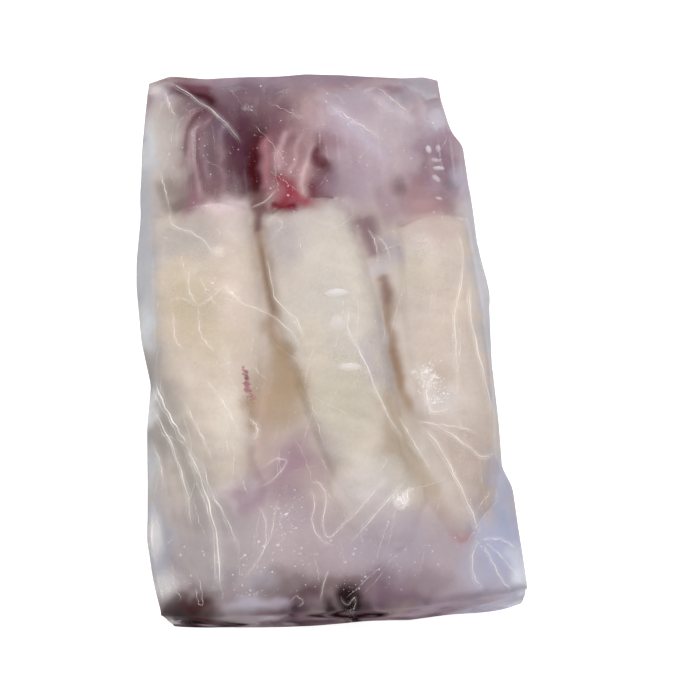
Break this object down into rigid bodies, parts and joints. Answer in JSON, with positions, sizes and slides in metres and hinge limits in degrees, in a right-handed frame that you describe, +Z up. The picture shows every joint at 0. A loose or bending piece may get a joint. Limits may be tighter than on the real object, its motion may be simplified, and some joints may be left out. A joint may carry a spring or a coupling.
{
  "type": "frozen block of whole raw squid in a clear bag",
  "caption": "Flat block of ice holding whole raw squid packed head to tail in layers, in a tight clear bag.",
  "frame": {"origin": "on the surface that the block lies on, under the middle of its box", "axes": "+Y along the block towards the heads of the upper layer, +X across it, +Z up through its thickness"},
  "size_m": [0.1837, 0.306, 0.0447],
  "materials": {
    "ice": "clear to milky ice under thin creased film",
    "squid": "cream skinned flesh with maroon stained head and arms",
    "under_squid": "dull cream and maroon flesh seen through ice"
  },
  "bodies": {
    "root": {"ice_block": "ice", "squid_left": "squid", "squid_middle": "squid", "squid_right": "squid", "under_squid_left": "under_squid", "under_squid_middle": "under_squid", "under_squid_right": "under_squid"}
  },
  "joints": []
}
